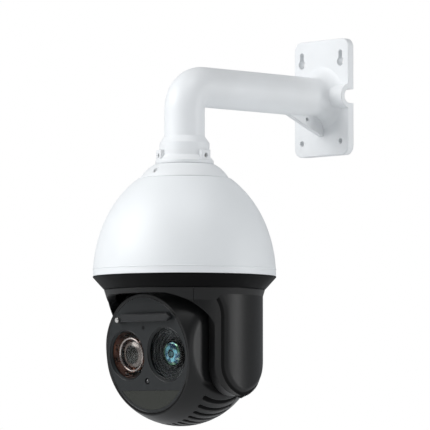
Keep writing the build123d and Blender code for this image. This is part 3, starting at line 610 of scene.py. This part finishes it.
def slotted_black():
    """Shell of the ball: the cooling slots below its skin are painted near black as painted shade and made rough.
    """
    m = Material("slotted_black", (0.006, 0.0062, 0.0064), 0.34, Specular_IOR_Level=0.3)
    m.soft_edges(0.6)
    m.mottle(14, (0.009, 0.009, 0.0085), 0.5)
    tilt_place = joint("tilt")["pos_m"]
    far = m.node("ShaderNodeVectorMath", operation="DISTANCE")
    far.inputs[1].default_value = tilt_place
    m.join(m.places, far.inputs[0])
    skin = m.ranged(far.outputs["Value"], 0, 1, (BALL_R - 1.6) * MM, (BALL_R - 0.5) * MM)
    below_skin = m.node("ShaderNodeMath", operation="SUBTRACT")
    below_skin.inputs[0].default_value = 1.0
    m.join(skin, below_skin.inputs[1])
    height = m.node("ShaderNodeSeparateXYZ")
    m.join(m.places, height.inputs["Vector"])
    slots_top = tilt_place[2] - 40 * MM
    underside = m.ranged(height.outputs["Z"], 1, 0, slots_top - 5 * MM, slots_top)
    slot = m.node("ShaderNodeMath", operation="MULTIPLY")
    m.join(below_skin.outputs["Value"], slot.inputs[0])
    m.join(underside, slot.inputs[1])
    # Painted shade: near black tinted into the slots below the skin on the underside.
    m.tint(slot.outputs["Value"], PAINTED_SHADE_BLACK)
    m.join(m.ranged(slot.outputs["Value"], 0.34, 0.95, 0, 1), m.shader.inputs["Roughness"])
    m.bump(2200, 0.02, 0.4)
    return m


def cover_black():
    """Side cover: satin like the shell, with a near black band of painted shade in the groove at the foot of its
    slope.
    """
    m = Material("cover_black", (0.005, 0.0052, 0.0054), 0.36, Specular_IOR_Level=0.3)
    m.mottle(14, (0.009, 0.009, 0.0085), 0.5)
    flat = m.node("ShaderNodeVectorMath", operation="MULTIPLY")
    flat.inputs[1].default_value = (1, 1, 0)
    far = m.node("ShaderNodeVectorMath", operation="DISTANCE")
    far.inputs[1].default_value = PAN_AXIS
    m.join(m.places, flat.inputs[0])
    m.join(flat.outputs["Vector"], far.inputs[0])
    foot = m.ranged(far.outputs["Value"], 1, 0, (YOKE_R + 0.9) * MM, (YOKE_R + 1.5) * MM)
    # Painted shade: near black tinted into the groove between the cover and the arm shell.
    m.tint(foot, PAINTED_SHADE_BLACK)
    m.join(m.ranged(foot, 0.36, 0.95, 0, 1), m.shader.inputs["Roughness"])
    m.bump(2200, 0.02, 0.4)
    return m


def face_rings():
    """Polished rims round the two windows and the thin bezel round the face."""
    gloss = gloss_black().data
    rims = (("lens_rim", LENS_X, LENS_OPENING_R), ("lamp_rim", LAMP_X, LAMP_OPENING_R))
    for name, x, radius in rims:
        lathe(name, bead(radius - 0.25, FACE_AHEAD - 0.3, 0.5), on_face(x, 0), gloss,
              "camera_ball")
    lathe("face_bezel", bead(FACE_R + 0.3, FACE_AHEAD - 0.2, 0.6), on_face(0, 0), gloss,
          "camera_ball", 192)


def lens_rings():
    """Retaining rings and baffle threads in front of the two lenses."""
    thread_back = LENS_FRONT - 9
    thread = [(15.4, thread_back), (15.4, LENS_FRONT - 1.2)]
    for index in range(6):
        thread.append((15.8 + index * THREAD_PITCH, LENS_FRONT - 0.6))
        thread.append((16.0 + index * THREAD_PITCH, LENS_FRONT - 0.2))
    thread += [(18.3, LENS_FRONT - 0.8), (18.3, thread_back)]
    lathe("lens_thread", thread, on_face(LENS_X, 0), FINISH["inner_black"],
          "camera_ball")
    steps = 12
    turns = [step / steps * math.pi / 2 for step in range(steps + 1)]
    edge = LENS_FRONT - 3.2
    back = LENS_FRONT - 6
    glass = [(FRONT_LENS_R * math.sin(t), edge + LENS_CROWN * math.cos(t)) for t in turns]
    glass += [(FRONT_LENS_R, back), (0, back)]
    piece = lathe("front_lens", glass, on_face(LENS_X, 0), lens_coat_and_painted_highlights().data,
                  "camera_ball")
    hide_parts("front_element")
    collar = bead(LAMP_COLLAR_R, LAMP_COLLAR_AHEAD, 1.4, 14)
    lathe("lamp_collar", collar, on_face(LAMP_X, 0), collar_chrome().data, "camera_ball")


# ---- side covers of the yoke ----

YOKE_R = 96.0
COVER_R = 98.5
COVER_EDGE_R = 98.1
COVER_BEVEL = 7.5
COVER_TOP = 70.0
COVER_REAR = 72.0
COVER_FRONT = -18.5
COVER_KNEE = -18.0
COVER_LOW = (12.0, -51.0)
COVER_CURL = 14.0
SHELL_FRONT = -34.0
SHELL_KNEE = -21.0
SHELL_LOW = (3.0, -58.5)
REAR_EDGE = -14.0
SHOULDER = 3.0
SKIN_LOW = -62.0
SKIN_FRONT_TURN = 62  # degrees round the pan axis from straight ahead
SKIN_STEPS = 150
DEEPEST = 1.4  # how far the skin goes on below its foot, in slopes


def arc(start, middle, end, count=24):
    """Points of the circle through three points of the side view."""
    (ax, ay), (bx, by), (cx, cy) = start, middle, end
    d = 2 * (ax * (by - cy) + bx * (cy - ay) + cx * (ay - by))
    a2, b2, c2 = ax * ax + ay * ay, bx * bx + by * by, cx * cx + cy * cy
    ux = (a2 * (by - cy) + b2 * (cy - ay) + c2 * (ay - by)) / d
    uy = (a2 * (cx - bx) + b2 * (ax - cx) + c2 * (bx - ax)) / d
    radius = math.hypot(ax - ux, ay - uy)
    first = math.atan2(ay - uy, ax - ux)
    last = math.atan2(cy - uy, cx - ux)
    mid = math.atan2(by - uy, bx - ux)
    turn = (last - first) % (2 * math.pi)
    if (mid - first) % (2 * math.pi) > turn:
        turn -= 2 * math.pi
    turns = [first + turn * index / count for index in range(count + 1)]
    return [(ux + radius * math.cos(t), uy + radius * math.sin(t)) for t in turns]


def arm_outline(front, knee, low, rear, curl=0.0):
    """Front and lower edge of an arm in the side view, from its top to its rear corner."""
    bend = math.sqrt(0.5)
    front_mid = (low[0] - (low[0] - front) * bend, knee - (knee - low[1]) * bend)
    rear_mid = (low[0] + (rear[0] - low[0]) * 0.54, low[1] + (rear[1] - low[1]) * 0.33)
    top = [(front, COVER_TOP + 20)]
    if curl:
        middle = (front - curl * 0.3, COVER_TOP - 12)
        top = arc((front - curl, COVER_TOP + 2), middle, (front, COVER_TOP - 34))
    points = top + arc((front, knee), front_mid, low) + arc(low, rear_mid, rear)[1:]
    return np.array(points)


def inside_distance(y, z, outline):
    """Signed distance to an arm outline, positive on the arm's side of it."""
    best = np.full(y.shape, 1e9)
    sign = np.ones(y.shape)
    for (y0, z0), (y1, z1) in zip(outline[:-1], outline[1:]):
        dy, dz = y1 - y0, z1 - z0
        share = np.clip(((y - y0) * dy + (z - z0) * dz) / (dy * dy + dz * dz), 0, 1)
        away = np.hypot(y - y0 - share * dy, z - z0 - share * dz)
        side = np.where(dy * (z - z0) - dz * (y - y0) > 0, 1.0, -1.0)
        nearer = away < best
        sign = np.where(nearer, side, sign)
        best = np.where(nearer, away, best)
    return best * sign


def cover_radius(y, z):
    """Radius of the cover's skin: a wide slope up from the arm shell, then a soft shoulder."""
    cover = arm_outline(COVER_FRONT, COVER_KNEE, COVER_LOW, (COVER_REAR, REAR_EDGE), COVER_CURL)
    shell = arm_outline(SHELL_FRONT, SHELL_KNEE, SHELL_LOW, (COVER_REAR + 4, REAR_EDGE - 3))
    inside = inside_distance(y, z, cover)
    width = np.clip(inside_distance(y, z, shell) - inside, 1.5, COVER_BEVEL)
    down = np.clip(-inside / width, 0, DEEPEST)
    shoulder = np.clip(1 - inside / SHOULDER, 0, 1) ** 2
    slope = COVER_EDGE_R - (COVER_EDGE_R - YOKE_R) * down
    return np.where(inside > 0, COVER_R - (COVER_R - COVER_EDGE_R) * shoulder, slope), down


def side_cover(name, side):
    """Raised cover as a fine skin round the pan axis; side is 1 for right, -1 for left."""
    rear_turn = math.acos(-COVER_REAR / COVER_R)
    turns = np.linspace(math.radians(SKIN_FRONT_TURN), rear_turn, SKIN_STEPS)
    heights = np.linspace(SKIN_LOW, COVER_TOP, SKIN_STEPS)
    turn, z = np.meshgrid(turns, heights, indexing="ij")
    radius, down = cover_radius(-np.cos(turn) * (YOKE_R + 1), z)
    radius[-1, :] = YOKE_R - 0.5  # the rear edge turns in
    low = [joint("pan")["pos_m"][2] / MM + height for height in heights]
    columns, rows = turn.shape
    vertices = []
    for i in range(columns):
        for j in range(rows):
            x = side * radius[i, j] * math.sin(turns[i])
            y = PAN_Y / MM - radius[i, j] * math.cos(turns[i])
            vertices.append(Vector((x, y, low[j])) * MM)
    faces = []
    for i in range(columns - 1):
        for j in range(rows - 1):
            corners = (down[i, j], down[i + 1, j], down[i, j + 1], down[i + 1, j + 1])
            if min(corners) < DEEPEST - 0.05:
                faces.append((i * rows + j, (i + 1) * rows + j, (i + 1) * rows + j + 1, i * rows + j + 1))
    mesh = bpy.data.meshes.new(name)
    mesh.from_pydata(vertices, [], faces)
    loose = bmesh.new()
    loose.from_mesh(mesh)
    bmesh.ops.delete(loose, geom=[v for v in loose.verts if not v.link_faces], context="VERTS")
    loose.to_mesh(mesh)
    loose.free()
    piece = finish_mesh(name, mesh, FINISH["cover_black"], "yoke")
    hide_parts(("right" if side > 0 else "left") + "_side_cover")


# ---- the sunshield's lip ----

RIM_LIP_R = 114.75


def rim_lip():
    """Rolled lip round the sunshield's lower edge."""
    place = Matrix.Translation(Vector((0, PAN_Y, RIM_Z + MM)))
    lathe("rim_lip", bead(RIM_LIP_R, 0, 0.65), place, FINISH["white_shell"], "mount", 256)


def put_on(node, material):
    for slot in NODES[node].material_slots:
        slot.material = material


make_camera()
make_lights()
make_world()
make_floor()
FINISH = dress_nodes()
put_on("trim_ring", trim_black().data)
put_on("lamp_lens", lamp_glass().data)
put_on("module_front", slotted_black().data)
put_on("face_screw", FINISH["inner_black"])
face_rings()
lens_rings()
FINISH["cover_black"] = cover_black().data
side_cover("right_cover_skin", 1)
side_cover("left_cover_skin", -1)
rim_lip()
